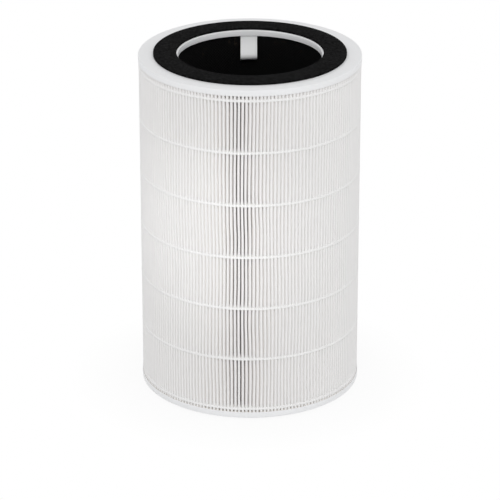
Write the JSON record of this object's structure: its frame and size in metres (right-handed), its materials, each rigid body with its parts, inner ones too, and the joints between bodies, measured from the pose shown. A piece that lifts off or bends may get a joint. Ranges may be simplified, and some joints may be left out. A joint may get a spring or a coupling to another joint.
{
  "type": "cylindrical air purifier filter",
  "caption": "Upright hollow cylinder of pleated white filter media between two ring end caps, with a carbon sleeve, foam face gaskets, glue beads and a ribbon pull tab.",
  "frame": {"origin": "centre of the underside of the lower gasket, on the cylinder's axis", "axes": "+Z along the cylinder's axis towards the end that carries the pull tab, which hangs at +Y"},
  "size_m": [0.198, 0.198, 0.314],
  "materials": {
    "cap_plastic": "fine satin moulding",
    "gasket_foam": "matt fine-celled foam",
    "potting_adhesive": "set adhesive",
    "net_nylon": "black woven net",
    "carbon_granules": "packed black granules",
    "wrap_cloth": "thin non-woven cloth",
    "media_paper": "matt glass-fibre paper",
    "bead_melt": "set hot-melt bead",
    "tab_ribbon": "woven ribbon"
  },
  "bodies": {
    "root": {"top_end_cap": "cap_plastic", "bottom_end_cap": "cap_plastic", "top_gasket": "gasket_foam", "bottom_gasket": "gasket_foam", "top_potting": "potting_adhesive", "bottom_potting": "potting_adhesive", "inner_net": "net_nylon", "carbon_bed": "carbon_granules", "carbon_wrap": "wrap_cloth", "pleated_media": "media_paper", "pull_tab": "tab_ribbon", "glue_bead_1": "bead_melt", "glue_bead_2": "bead_melt", "glue_bead_3": "bead_melt", "glue_bead_4": "bead_melt", "glue_bead_5": "bead_melt", "glue_bead_6": "bead_melt", "glue_bead_7": "bead_melt"}
  },
  "joints": []
}
